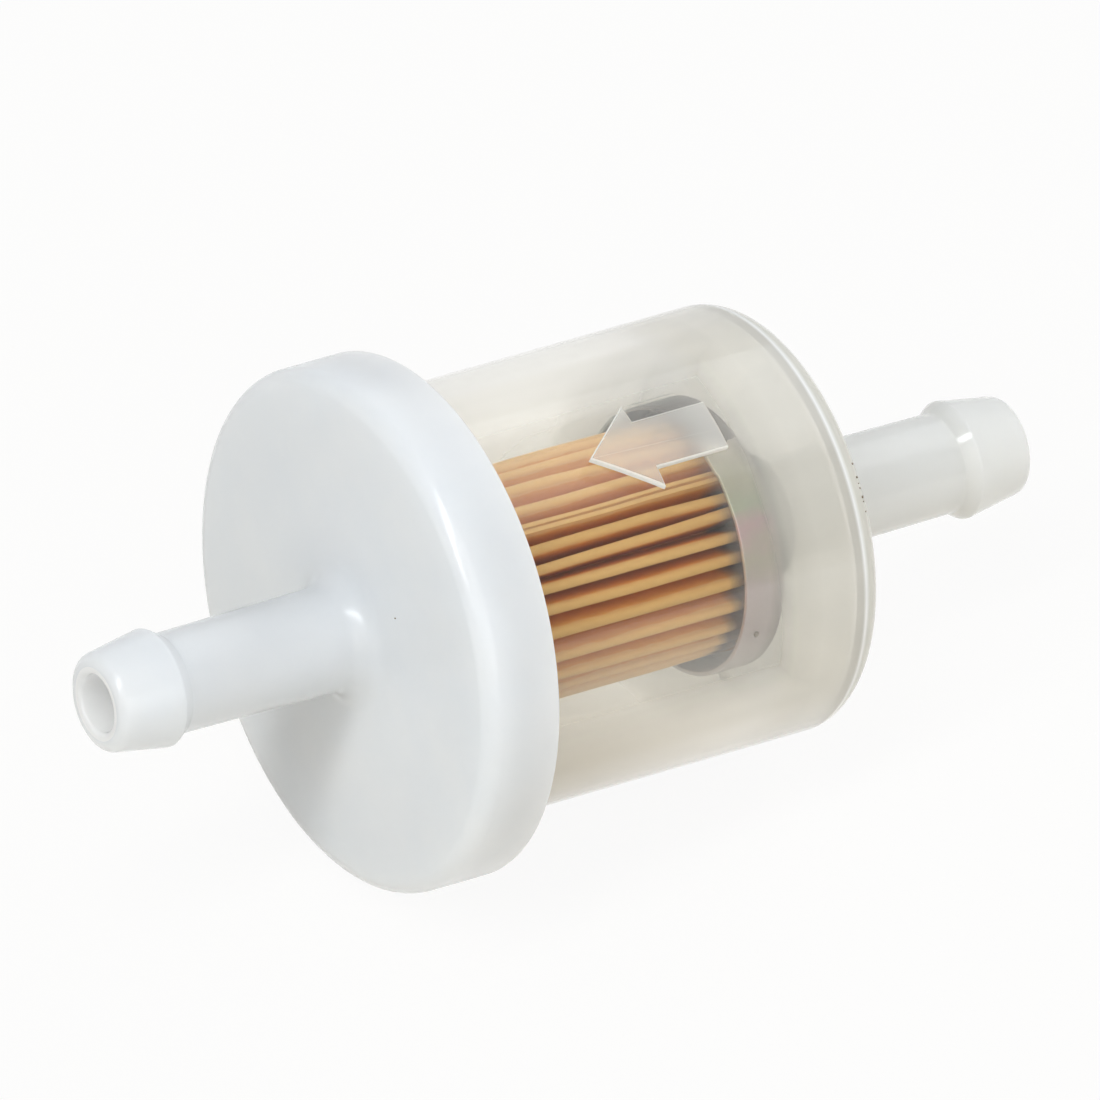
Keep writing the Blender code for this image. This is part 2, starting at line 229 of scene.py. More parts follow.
# %% [markdown]
# ## White nylon
# Natural nylon is a milky plastic: light goes in, scatters for a millimetre or two and comes
# out again. That soft look is subsurface scattering, not a flat white. A faint cloudiness in
# the colour and a very shallow ripple in the surface take the computer-clean look away. In the
# bore the colour is painted near white: painted light for what comes through the barb's wall.

# %% Finish of the outlet cap
BORE_LIGHT_RADIUS = 2.4 * MM
NYLON_SCATTER = 4.0 * MM
NYLON_RIPPLE = 0.05 * MM


def white_nylon():
    material, tree, shader = new_finish("milky_white_nylon")
    place = lathe_place(tree)
    clouds = add_noise(tree, place, 160.0, 3.0)
    color = add_ramp(tree, clouds, [(0.3, (0.81, 0.845, 0.885)), (0.7, (0.85, 0.875, 0.90))])
    in_bore = add_node(tree, "ShaderNodeMath", {0: axis_distance(tree, place), 1: BORE_LIGHT_RADIUS},
                       operation="LESS_THAN")
    # Painted light: inside the bore the colour is mixed to near white, standing in for light through the
    # barb's wall.
    lighter = mix_colors(tree, in_bore.outputs["Value"], color, (0.97, 0.98, 0.985))
    tree.links.new(lighter, shader.inputs["Base Color"])
    ripple = add_noise(tree, place, 420.0, 2.0)
    tree.links.new(add_bump(tree, ripple, 0.12, NYLON_RIPPLE), shader.inputs["Normal"])
    shader.inputs["Roughness"].default_value = 0.22
    shader.inputs["IOR"].default_value = 1.53
    shader.inputs["Subsurface Weight"].default_value = 0.9
    shader.inputs["Subsurface Radius"].default_value = (1.0, 1.0, 1.0)
    shader.inputs["Subsurface Scale"].default_value = NYLON_SCATTER
    return material


# %% [markdown]
# ## Clear nylon
# The bowl is the same plastic in a thin, clearer moulding. It lets the element show and still
# veils it: a share of the light is scattered at the wall and the rest passes. The share grows
# where the wall is seen at a slant and where the plastic is thick, so ramps along the axis set
# the haze and the tint: clear over the paper, milky on the wall beyond the element and in the
# stem. The same ramps paint a bright thin line on the corner of the closed end, a painted
# highlight, with a darker beige edge past it, painted edge shade. On the side that the filter
# lies on a darker beige is painted shade, most of all beside the cap, where little light gets in.

# %% Finish of the bowl
HAZE_FROM = 20.0 * MM
HAZE_TO = 32.0 * MM
# The haze step to 0.90 at 30.15 mm is part of the painted highlight line on the closed end's corner.
WALL_HAZE_STEPS = [(20.1, 0.02), (21.6, 0.12), (23.4, 0.19), (25.0, 0.46), (27.0, 0.57), (29.95, 0.58),
                   (30.15, 0.90), (30.45, 0.68)]
SLANT_FROM = 0.15
SLANT_TO = 0.36
SLANT_HAZE = 0.55
CORE_HAZE_STEPS = [(30.8, 0.0), (31.3, 0.10), (31.7, 0.84)]
# The near-white step at 30.15 mm is a painted highlight on the closed end's corner; the darker step at
# 30.45 mm is painted edge shade past it.
TINT_AND_EDGE_LIGHT_STEPS = [(23.0, (0.96, 0.935, 0.87)), (25.0, (0.945, 0.91, 0.82)), (29.9, (0.92, 0.89, 0.81)),
              (30.15, (1.0, 1.0, 0.985)), (30.45, (0.87, 0.855, 0.775)), (31.5, (0.98, 0.95, 0.86)),
              (31.9, (1.0, 0.98, 0.89))]
WALL_RADIUS = 12.6 * MM
MILKY_SCATTER = 1.5 * MM
UNDER_FROM = -2.0 * MM
UNDER_TO = 5.0 * MM
UNDER_FADE_FROM = 20.0 * MM
UNDER_FADE_TO = 28.5 * MM
UNDER_HAZE = 0.20
FOOT_FROM = -4.8 * MM
FOOT_TO = -0.8 * MM
FOOT_HAZE = 0.25
# Painted shade for the underside: darkest beside the cap, paler towards the closed end.
UNDER_SHADE_STEPS = [(5.0, (0.62, 0.57, 0.475)), (11.0, (0.72, 0.67, 0.57)), (20.0, (0.90, 0.86, 0.775)),
               (27.0, (0.95, 0.92, 0.845))]


def along_ramp(tree, height, steps, start=HAZE_FROM, end=HAZE_TO):
    share = add_node(tree, "ShaderNodeMapRange", {
        "Value": height, "From Min": start, "From Max": end})
    stops = []
    for position, value in steps:
        color = value if isinstance(value, tuple) else (value, value, value)
        stops.append(((position * MM - start) / (end - start), color))
    return add_ramp(tree, share.outputs["Result"], stops)


def clear_nylon(name, haze, roughness, milky=0.0):
    material, tree, shader = new_finish(name)
    place = lathe_place(tree)
    streak_place = add_node(tree, "ShaderNodeMapping", {"Vector": place, "Scale": (1.0, 1.0, 0.25)})
    streaks = add_noise(tree, streak_place.outputs["Vector"], 220.0, 3.0)
    slant = add_node(tree, "ShaderNodeLayerWeight", {"Blend": 0.3}).outputs["Facing"]
    parts = add_node(tree, "ShaderNodeSeparateXYZ", {"Vector": place})
    outside = add_node(tree, "ShaderNodeMath", {0: axis_distance(tree, place), 1: WALL_RADIUS},
                       operation="GREATER_THAN")
    underneath = add_node(tree, "ShaderNodeMapRange", {
        "Value": parts.outputs["X"], "From Min": UNDER_FROM, "From Max": UNDER_TO},
        interpolation_type="SMOOTHSTEP")
    before_end = add_node(tree, "ShaderNodeMapRange", {
        "Value": parts.outputs["Z"], "From Min": UNDER_FADE_FROM, "From Max": UNDER_FADE_TO,
        "To Min": 1.0, "To Max": 0.0}, interpolation_type="SMOOTHSTEP")
    # The underside mask fades out before the closed end. It drives both the extra haze and the painted
    # shade below.
    under_haze_and_shade = add_node(tree, "ShaderNodeMath", {
        0: underneath.outputs["Result"], 1: before_end.outputs["Result"]}, operation="MULTIPLY")
    most = add_node(tree, "ShaderNodeMath", {
        0: under_haze_and_shade.outputs["Value"], 1: UNDER_HAZE, 2: SLANT_HAZE}, operation="MULTIPLY_ADD")
    turned_away = add_node(tree, "ShaderNodeMapRange", {
        "Value": slant, "From Min": SLANT_FROM, "From Max": SLANT_TO, "To Max": most.outputs["Value"]},
        interpolation_type="SMOOTHSTEP")
    foot = add_node(tree, "ShaderNodeMapRange", {
        "Value": parts.outputs["X"], "From Min": FOOT_FROM, "From Max": FOOT_TO, "To Max": FOOT_HAZE},
        interpolation_type="SMOOTHSTEP")
    footed = add_node(tree, "ShaderNodeMath", {
        0: foot.outputs["Result"], 1: turned_away.outputs["Result"]}, operation="MAXIMUM")
    wall = add_node(tree, "ShaderNodeMath", {
        0: along_ramp(tree, parts.outputs["Z"], WALL_HAZE_STEPS),
        1: footed.outputs["Value"]}, operation="MAXIMUM")
    veil = add_node(tree, "ShaderNodeMapRange", {
        "Value": outside.outputs["Value"],
        "To Min": along_ramp(tree, parts.outputs["Z"], CORE_HAZE_STEPS),
        "To Max": wall.outputs["Value"]})
    patchy = add_node(tree, "ShaderNodeMapRange", {
        "Value": streaks, "From Min": 0.3, "From Max": 0.7,
        "To Min": haze - 0.01, "To Max": haze + 0.02})
    total = add_node(tree, "ShaderNodeMath", {0: patchy.outputs["Result"], 1: veil.outputs["Result"]},
                     operation="ADD", use_clamp=True)
    clearness = add_node(tree, "ShaderNodeMath", {0: 1.0, 1: total.outputs["Value"]},
                         operation="SUBTRACT")
    tree.links.new(clearness.outputs["Value"], shader.inputs["Transmission Weight"])
    # Painted shade: on the underside the colour mixes from the tint along the axis to the darker
    # underside steps.
    tint = mix_colors(tree, under_haze_and_shade.outputs["Value"],
                      along_ramp(tree, parts.outputs["Z"], TINT_AND_EDGE_LIGHT_STEPS),
                      along_ramp(tree, parts.outputs["Z"], UNDER_SHADE_STEPS, start=0.0))
    tree.links.new(tint, shader.inputs["Base Color"])
    shader.inputs["Roughness"].default_value = roughness
    shader.inputs["IOR"].default_value = 1.5
    shader.inputs["Subsurface Weight"].default_value = milky
    shader.inputs["Subsurface Radius"].default_value = (1.0, 1.0, 1.0)
    shader.inputs["Subsurface Scale"].default_value = MILKY_SCATTER
    return material


# %% [markdown]
# ## Filter paper
# Filter paper is resin treated tan felt. Fibres show as fine streaks and the surface is dull.
# The ridges are painted paler than the valleys, painted shade for the deep folds: a ramp over
# the distance from the axis sets the colour, with noise on top. The end that stands in the
# inlet cup is painted a ragged dark brown: mostly painted shade from the cup's skirt and the
# gap beside it, partly resin the paper drew up. The very top of the element is left out.

# %% Finish of the paper
# Band at the paper's end inside the inlet cup: mostly painted shade from the cup's skirt, partly resin.
# It is kept off the very top.
SKIRT_SHADE_FROM = 23.8 * MM
SKIRT_SHADE_TO = 24.8 * MM
SKIRT_SHADE_RAGGED = 1.2 * MM
UNSHADED_ABOVE = -6.6 * MM
SHADED_BELOW = -4.8 * MM
VALLEY_RADIUS = 4.5 * MM
RIDGE_RADIUS = 7.7 * MM
FIBRE_HEIGHT = 0.03 * MM


def filter_paper():
    material, tree, shader = new_finish("tan_filter_paper")
    place = lathe_place(tree)
    grain_place = add_node(tree, "ShaderNodeMapping", {"Vector": place, "Scale": (1.0, 1.0, 0.35)})
    fibres = add_noise(tree, grain_place.outputs["Vector"], 2600.0, 3.0, 0.7)
    patches = add_noise(tree, place, 260.0, 2.0)
    # Painted shade: the colour darkens from the ridges into the valleys, by the distance from the axis.
    fold_shade_share = add_node(tree, "ShaderNodeMapRange", {
        "Value": axis_distance(tree, place), "From Min": VALLEY_RADIUS, "From Max": RIDGE_RADIUS})
    # Fibre noise is added on top of the painted fold shade.
    mottle = add_node(tree, "ShaderNodeMath", {0: fibres, 1: 0.16, 2: fold_shade_share.outputs["Result"]},
                      operation="MULTIPLY_ADD")
    mottle_and_fold_shade = add_node(tree, "ShaderNodeMath", {0: patches, 1: 0.12, 2: mottle.outputs["Value"]},
                       operation="MULTIPLY_ADD")
    color = add_ramp(tree, mottle_and_fold_shade.outputs["Value"], [
        (0.3, (0.64, 0.22, 0.06)), (0.85, (0.87, 0.395, 0.105)), (1.02, (0.97, 0.54, 0.17)),
        (1.2, (0.99, 0.64, 0.26))])
    parts = add_node(tree, "ShaderNodeSeparateXYZ", {"Vector": place})
    # Painted shade at the end in the inlet cup, with a ragged edge from noise, kept off the top of the
    # element.
    ragged = add_node(tree, "ShaderNodeMath", {0: patches, 1: SKIRT_SHADE_RAGGED, 2: parts.outputs["Z"]},
                      operation="MULTIPLY_ADD")
    skirt_shade = add_node(tree, "ShaderNodeMapRange", {
        "Value": ragged.outputs["Value"], "From Min": SKIRT_SHADE_FROM + SKIRT_SHADE_RAGGED / 2,
        "From Max": SKIRT_SHADE_TO + SKIRT_SHADE_RAGGED / 2, "To Max": 0.9})
    below_top = add_node(tree, "ShaderNodeMapRange", {
        "Value": parts.outputs["X"], "From Min": UNSHADED_ABOVE, "From Max": SHADED_BELOW})
    ring = add_node(tree, "ShaderNodeMath", {
        0: skirt_shade.outputs["Result"], 1: below_top.outputs["Result"]}, operation="MULTIPLY")
    darker = mix_colors(tree, ring.outputs["Value"], color, (0.27, 0.20, 0.15))
    tree.links.new(darker, shader.inputs["Base Color"])
    tree.links.new(add_bump(tree, fibres, 0.5, FIBRE_HEIGHT), shader.inputs["Normal"])
    shader.inputs["Roughness"].default_value = 0.85
    shader.inputs["Specular IOR Level"].default_value = 0.25
    return material


# %% [markdown]
# ## Zinc plated steel
# The end caps are bright zinc with a clear passivation, whose thin film tints the metal green
# and pink in patches. The tint is placed by the angle round the axis, broken up with noise.
# Towards the top at the rear the ramp turns almost black: painted shade. The drawn corner at
# the closed end of the inlet cup is painted darker than the rest of its skirt: painted shade.

# %% Finish of the metal end caps
SHADED_CORNER_FROM = 25.9 * MM
SHADED_CORNER_TO = 27.0 * MM
SMEAR_DEPTH = 0.02 * MM


def zinc_steel():
    material, tree, shader = new_finish("passivated_zinc_steel")
    place = lathe_place(tree)
    wobble = add_node(tree, "ShaderNodeTexNoise", {"Vector": place, "Scale": 320.0, "Detail": 3.0})
    bent = add_node(tree, "ShaderNodeVectorMath",
                    {0: wobble.outputs["Color"], 1: (0.004, 0.004, 0.004)}, operation="MULTIPLY")
    shifted = add_node(tree, "ShaderNodeVectorMath", {0: place, 1: bent.outputs["Vector"]})
    around = add_node(tree, "ShaderNodeTexGradient", {"Vector": shifted.outputs["Vector"]},
                      gradient_type="RADIAL").outputs["Fac"]
    # The stops at 0.9 and 1.0, on the upper rear of the skirt, are almost black: painted shade.
    tints = add_ramp(tree, around, [
        (0.0, (0.66, 0.62, 0.58)), (0.08, (0.78, 0.82, 0.70)), (0.125, (0.74, 0.85, 0.70)),
        (0.165, (0.90, 0.66, 0.77)), (0.20, (0.76, 0.74, 0.67)), (0.25, (0.80, 0.71, 0.78)),
        (0.5, (0.56, 0.55, 0.53)), (0.75, (0.54, 0.58, 0.53)), (0.9, (0.11, 0.10, 0.095)),
        (1.0, (0.20, 0.18, 0.17))])
    height = add_node(tree, "ShaderNodeSeparateXYZ", {"Vector": place}).outputs["Z"]
    # Painted shade: towards the closed end the colour is mixed to a dark pinkish grey.
    corner_shade = add_node(tree, "ShaderNodeMapRange", {
        "Value": height, "From Min": SHADED_CORNER_FROM, "From Max": SHADED_CORNER_TO, "To Max": 0.75})
    tints_with_corner_shade = mix_colors(tree, corner_shade.outputs["Result"], tints, (0.30, 0.27, 0.27))
    tree.links.new(tints_with_corner_shade, shader.inputs["Base Color"])
    smears = add_noise(tree, place, 900.0, 4.0)
    dull = add_node(tree, "ShaderNodeMapRange", {"Value": smears, "To Min": 0.35, "To Max": 0.6})
    tree.links.new(dull.outputs["Result"], shader.inputs["Roughness"])
    tree.links.new(add_bump(tree, smears, 0.25, SMEAR_DEPTH), shader.inputs["Normal"])
    shader.inputs["Metallic"].default_value = 0.75
    return material


# %% [markdown]
# ## Resin and rubber
# Both are hidden deep inside, yet the CAD nodes that stand for them get a finish of their own.

# %% Finishes of the hidden pieces
MOTTLE_DEPTH = 0.03 * MM


def plain_finish(name, dark, light, roughness, scale):
    material, tree, shader = new_finish(name)
    place = lathe_place(tree)
    mottle = add_noise(tree, place, scale, 3.0)
    tree.links.new(add_ramp(tree, mottle, [(0.35, dark), (0.65, light)]), shader.inputs["Base Color"])
    tree.links.new(add_bump(tree, mottle, 0.3, MOTTLE_DEPTH), shader.inputs["Normal"])
    shader.inputs["Roughness"].default_value = roughness
    return material


nylon = white_nylon()
clear = clear_nylon("hazy_clear_nylon", 0.01, 0.03)
milky = clear_nylon("milky_clear_nylon", 0.01, 0.05, 1.0)
frosted = clear_nylon("frosted_clear_nylon", 0.32, 0.22)
whitened = clear_nylon("whitened_clear_nylon", 0.75, 0.4)
paper = filter_paper()
zinc = zinc_steel()
resin = plain_finish("cured_resin", (0.30, 0.16, 0.07), (0.45, 0.27, 0.13), 0.5, 500.0)
rubber = plain_finish("black_rubber", (0.02, 0.02, 0.02), (0.04, 0.04, 0.042), 0.6, 800.0)

# %% [markdown]
# ## The barbs
# Cap and bowl carry the same hose barb: a stem with a little draft, a crest with a short slope
# behind it, and a cone that leads into the hose. One helper gives its corners for both.

# %% Corners of a barb
BARB_LENGTH = 18.2 * MM
RIDGE_DISTANCE = 13.95 * MM
RIDGE_DIAMETER = 7.7 * MM
RIDGE_BACK = 0.9 * MM
STEM_DIAMETER = 6.5 * MM
STEM_DRAFT = 0.15 * MM
TIP_DIAMETER = 6.3 * MM
TIP_ROUND = 0.9 * MM
BORE_DIAMETER = 3.8 * MM
MOUTH_ROUND = 0.25 * MM
CREST_ROUND = 0.3 * MM


def barb_corners(face, way):
    return [
        (BORE_DIAMETER / 2, face + way * BARB_LENGTH, MOUTH_ROUND),
        (TIP_DIAMETER / 2, face + way * BARB_LENGTH, TIP_ROUND),
        (RIDGE_DIAMETER / 2, face + way * RIDGE_DISTANCE, CREST_ROUND),
        (STEM_DIAMETER / 2, face + way * (RIDGE_DISTANCE - RIDGE_BACK), CREST_ROUND),
    ]


# %% [markdown]
# ## Outlet cap
# The cap is one moulding: barb, flat face, rim, and inside it a recess for the bowl's lip and a
# spigot for the element. The front edge has a generous round that catches a long highlight.

# %% Turn the outlet cap
FLANGE_DIAMETER = 34.0 * MM
FLANGE_DEPTH = 5.3 * MM
FLANGE_FRONT_ROUND = 1.1 * MM
SKIRT_WALL = 1.6 * MM
CAP_WALL = 2.2 * MM
CAP_ROOT_FILLET = 1.8 * MM
SPIGOT_DIAMETER = 5.8 * MM
SPIGOT_LENGTH = 3.2 * MM
EDGE_ROUND = 0.2 * MM

skirt_radius = FLANGE_DIAMETER / 2 - SKIRT_WALL
cap_outline = round_outline([
    *barb_corners(0.0, -1),
    (STEM_DIAMETER / 2 + STEM_DRAFT, 0.0, CAP_ROOT_FILLET),
    (FLANGE_DIAMETER / 2, 0.0, FLANGE_FRONT_ROUND),
    (FLANGE_DIAMETER / 2, FLANGE_DEPTH, EDGE_ROUND),
    (skirt_radius, FLANGE_DEPTH, EDGE_ROUND),
    (skirt_radius, CAP_WALL, EDGE_ROUND),
    (SPIGOT_DIAMETER / 2, CAP_WALL, EDGE_ROUND),
    (SPIGOT_DIAMETER / 2, CAP_WALL + SPIGOT_LENGTH, EDGE_ROUND),
    (BORE_DIAMETER / 2, CAP_WALL + SPIGOT_LENGTH, EDGE_ROUND),
])
cap_piece = lay_down(turned_mesh("white_outlet_cap", cap_outline, 192), nylon)
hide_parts("outlet_cap")

# %% [markdown]
# ## Bowl
# The bowl's lip sits in the cap's recess. Its wall, closed end and barb are one moulding, and
# light bends at both faces of the wall, so the wall needs its true thickness here.

# %% Turn the bowl
BOWL_DIAMETER = 27.8 * MM
BOWL_WALL = 1.4 * MM
BOWL_END_ROUND = 1.6 * MM
BOWL_INNER_ROUND = 0.8 * MM
BOWL_ROOT_FILLET = 1.0 * MM
BOWL_LIP_THICKNESS = 2.5 * MM
WELD_GAP = 0.3 * MM

bowl_mouth = CAP_WALL + WELD_GAP
bowl_radius = BOWL_DIAMETER / 2
bowl_outline = round_outline([
    *barb_corners(BOWL_REACH, 1),
    (STEM_DIAMETER / 2 + STEM_DRAFT, BOWL_REACH, BOWL_ROOT_FILLET),
    (bowl_radius, BOWL_REACH, BOWL_END_ROUND),
    (bowl_radius, bowl_mouth + BOWL_LIP_THICKNESS, EDGE_ROUND),
    (skirt_radius - WELD_GAP, bowl_mouth + BOWL_LIP_THICKNESS, EDGE_ROUND),
    (skirt_radius - WELD_GAP, bowl_mouth, EDGE_ROUND),
    (bowl_radius - BOWL_WALL, bowl_mouth, EDGE_ROUND),
    (bowl_radius - BOWL_WALL, BOWL_REACH - BOWL_WALL, BOWL_INNER_ROUND),
    (BORE_DIAMETER / 2, BOWL_REACH - BOWL_WALL, EDGE_ROUND),
])
bowl_piece = lay_down(turned_mesh("clear_bowl", bowl_outline, 192), clear)
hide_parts("bowl")

# %% [markdown]
# ## Flow arrow
# The arrow stands a little proud of the bowl, with a top that follows the bowl's curve. A flat
# arrow is extruded through the wall, cut to a sleeve of the right height, and joined to the
# bowl with Booleans. Its top was left rough by the mould, so those faces get a frosted finish,
# and its thin broken edge gathers light and shows almost white.

# %% Raise the arrow
ARROW_TIP = 13.4 * MM
ARROW_HEAD_LENGTH = 4.1 * MM
ARROW_HEAD_WIDTH = 6.2 * MM
ARROW_SHAFT_LENGTH = 5.3 * MM
ARROW_SHAFT_WIDTH = 3.5 * MM
ARROW_RELIEF = 0.4 * MM
ARROW_TURN = math.radians(22.6)
ARROW_EDGE = 0.08 * MM
NEARLY = 0.02 * MM

arrow_way = math.pi + ARROW_TURN


def arrow_outline():
    head_back = ARROW_TIP + ARROW_HEAD_LENGTH
    shaft_end = head_back + ARROW_SHAFT_LENGTH
    head = ARROW_HEAD_WIDTH / 2
    shaft = ARROW_SHAFT_WIDTH / 2
    return [(0.0, ARROW_TIP), (head, head_back), (shaft, head_back), (shaft, shaft_end),
            (-shaft, shaft_end), (-shaft, head_back), (-head, head_back)]


def arrow_mesh():
    bm = bmesh.new()
    foot = bowl_radius - BOWL_WALL
    face = bm.faces.new([bm.verts.new((foot, across, along)) for across, along in arrow_outline()])
    grown = bmesh.ops.extrude_face_region(bm, geom=[face])["geom"]
    risen = [item for item in grown if isinstance(item, bmesh.types.BMVert)]
    bmesh.ops.translate(bm, vec=(3 * BOWL_WALL, 0, 0), verts=risen)
    bmesh.ops.rotate(bm, verts=bm.verts, matrix=Matrix.Rotation(arrow_way, 3, "Z"))
    return mesh_from(bm, "arrow_block")


def join_by_boolean(piece, helper, operation):
    step = piece.modifiers.new(helper.name, "BOOLEAN")
    step.object = helper
    step.operation = operation
    bpy.context.view_layer.update()
    graph = bpy.context.evaluated_depsgraph_get()
    result = bpy.data.meshes.new_from_object(piece.evaluated_get(graph))
    piece.modifiers.remove(step)
    piece.data = result
    bpy.data.objects.remove(helper)


def out_from_axis(point):
    return Vector((point.x, point.y, 0.0))


def break_top_edge(mesh, top_radius):
    bm = bmesh.new()
    bm.from_mesh(mesh)
    rim = [edge for edge in bm.edges
           if all(out_from_axis(v.co).length > top_radius - NEARLY for v in edge.verts)
           and edge.calc_face_angle(0.0) > math.radians(60)]
    bmesh.ops.bevel(bm, geom=rim, offset=ARROW_EDGE, segments=1, affect="EDGES")
    bm.to_mesh(mesh)
    bm.free()
    print("broken edges on the arrow:", len(rim))


arrow_block = bpy.data.objects.new("arrow_block", arrow_mesh())
sleeve_outline = [Vector(p) for p in (
    (bowl_radius - BOWL_WALL / 2, FLANGE_DEPTH), (bowl_radius + ARROW_RELIEF, FLANGE_DEPTH),
    (bowl_radius + ARROW_RELIEF, BOWL_REACH - BOWL_END_ROUND),
    (bowl_radius - BOWL_WALL / 2, BOWL_REACH - BOWL_END_ROUND))]
sleeve = bpy.data.objects.new("arrow_sleeve", turned_mesh("arrow_sleeve", sleeve_outline, 192))
for helper in (arrow_block, sleeve):
    bpy.context.collection.objects.link(helper)
    helper.matrix_world = lathe
join_by_boolean(arrow_block, sleeve, "INTERSECT")
break_top_edge(arrow_block.data, (bowl_radius + ARROW_RELIEF) * INSIDE_FLATS)
join_by_boolean(bowl_piece, arrow_block, "UNION")

# %% Frost the arrow and the closed end
MILKY_FROM = 31.4 * MM
FROSTED, WHITENED, MILKY = 1, 2, 3
bowl_piece.data.materials.clear()
for finish in (clear, frosted, whitened, milky):
    bowl_piece.data.materials.append(finish)
arrow_faces = {FROSTED: 0, WHITENED: 0}
for face in bowl_piece.data.polygons:
    outward = out_from_axis(face.center)
    if face.center.z > MILKY_FROM and outward.length < WALL_RADIUS:
        face.material_index = MILKY
        continue
    if outward.length < bowl_radius * INSIDE_FLATS + NEARLY:
        continue
    if not ARROW_TIP - 1 * MM < face.center.z < MILKY_FROM:
        continue
    on_top = face.normal.dot(outward.normalized()) > 0.9 or face.normal.z > 0.7
    face.material_index = FROSTED if on_top else WHITENED
    arrow_faces[face.material_index] += 1
bowl_piece.data.set_sharp_from_angle(angle=math.radians(35.0))
print("faces on the arrow's top and edges:", list(arrow_faces.values()))

# %% [markdown]
# ## Pleated paper
# The element is one strip of paper, folded to and fro and closed to a ring with a glued seam.
# The folds were set by hand, so they are unevenly spaced and drift a little along the element.
# The strip is drawn at a row of stations along the axis and skinned; a smooth noise moves each
# fold a little more at each station.

# %% Sizes of the element
ELEMENT_SEAT = 3.6 * MM
ELEMENT_LENGTH = 23.7 * MM
END_CAP_DIAMETER = 17.7 * MM
END_CAP_SKIRT = 3.0 * MM
END_CAP_SHEET = 0.3 * MM
END_CAP_ROUND = 0.5 * MM
CLOSED_CAP_SHIFT = 0.2 * MM
PAPER_DIAMETER = 15.4 * MM
GLUE_GAP = 0.3 * MM
POTTING_THICKNESS = 0.8 * MM
PAPER_THICKNESS = 0.28 * MM
CORE_DIAMETER = 8.4 * MM
PLEAT_COUNT = 32
PLEAT_BUNCHES = 4
PLEAT_BUNCHING = math.radians(3.0)
SEAM_TURN = math.radians(25.3)

paper_depth = END_CAP_SHEET + 2 * GLUE_GAP + POTTING_THICKNESS
paper_start = ELEMENT_SEAT + paper_depth
paper_end = ELEMENT_SEAT + ELEMENT_LENGTH - paper_depth
paper_outer = PAPER_DIAMETER / 2
paper_inner = CORE_DIAMETER / 2 + GLUE_GAP
print("paper runs from", round(paper_start / MM, 2), "to", round(paper_end / MM, 2), "mm")


# %% Draw the folds
DRIFT = math.radians(1.4)
FOLD_LEANS = {2: (1.4, -1.2), 3: (0.8, 1.5), 4: (1.2, 1.7), 5: (1.3, 1.5), 6: (2.8, 1.6), 7: (0.5, 2.0)}
FOLD_LIFT = 0.12 * MM
FOLD_WANDER = 9.0 * MM
FOLD_SHARPNESS = 0.13
SEAM_GAP = 0.16 * MM
SEAM_GROOVE = 0.35 * MM
SEAM_DEPTH = 1.4 * MM
SLIT_NARROWING = 0.12
ROUND_SWEEP = math.radians(160.0)
half_paper = PAPER_THICKNESS / 2


def fold_noise(index, height, seed):
    return noise.noise(Vector((index * 1.7, height / FOLD_WANDER, seed)))


def fold_angle(index, height):
    step = 2 * math.pi / PLEAT_COUNT
    bunching = PLEAT_BUNCHING * (math.cos(PLEAT_BUNCHES * index * step) - 1)
    number = index % PLEAT_COUNT
    share = (height - paper_start) / (paper_end - paper_start)
    if number in FOLD_LEANS:
        near, far = FOLD_LEANS[number]
        drift = math.radians(near + (far - near) * share) + 0.3 * DRIFT * fold_noise(number, height, 3.1)
    else:
        drift = DRIFT * fold_noise(number, height, 3.1)
    return math.pi + SEAM_TURN + index * step + bunching + drift


def round_fold(centre_radius, angle, bend, steps, outwards):
    centre = Vector((math.cos(angle), math.sin(angle))) * centre_radius
    pairs = []
    for step in range(steps + 1):
        turn = ROUND_SWEEP * (step / steps - 0.5)
        heading = angle + turn if outwards else angle + math.pi - turn
        spoke = Vector((math.cos(heading), math.sin(heading)))
        side = half_paper if outwards else -half_paper
        pairs.append((centre + spoke * (bend + side), centre + spoke * (bend - side)))
    return pairs


def seam_fold(angle):
    spoke = Vector((math.cos(angle), math.sin(angle)))
    across = Vector((-spoke.y, spoke.x))
    tip = spoke * paper_outer
    slit = spoke * (paper_inner + SEAM_DEPTH)
    edges = [-SEAM_GAP / 2 - PAPER_THICKNESS, -SEAM_GAP / 2, 0.0, SEAM_GAP / 2,
             SEAM_GAP / 2 + PAPER_THICKNESS]
    outer = [tip + across * edge for edge in edges]
    outer[2] = spoke * (paper_outer - SEAM_GROOVE)
    return [(point, slit + across * edge * SLIT_NARROWING) for point, edge in zip(outer, edges)]


def strip_section(height):
    pairs = []
    for index in range(PLEAT_COUNT):
        here = fold_angle(index, height)
        following = fold_angle(index + 1, height)
        width = following - here
        lift = FOLD_LIFT * (fold_noise(index, height, 8.4) - 0.6)
        outer_bend = max((paper_outer + lift) * width * FOLD_SHARPNESS, 0.6 * PAPER_THICKNESS)
        inner_bend = max(paper_inner * width / 4, 0.6 * PAPER_THICKNESS)
        if index == 0:
            pairs += seam_fold(here)
        else:
            pairs += round_fold(paper_outer + lift - half_paper - outer_bend, here, outer_bend, 8, True)
        middle = (here + following) / 2
        pairs += round_fold(paper_inner + half_paper + inner_bend, middle, inner_bend, 4, False)
    return pairs


# %% Skin the paper
STATIONS = 30


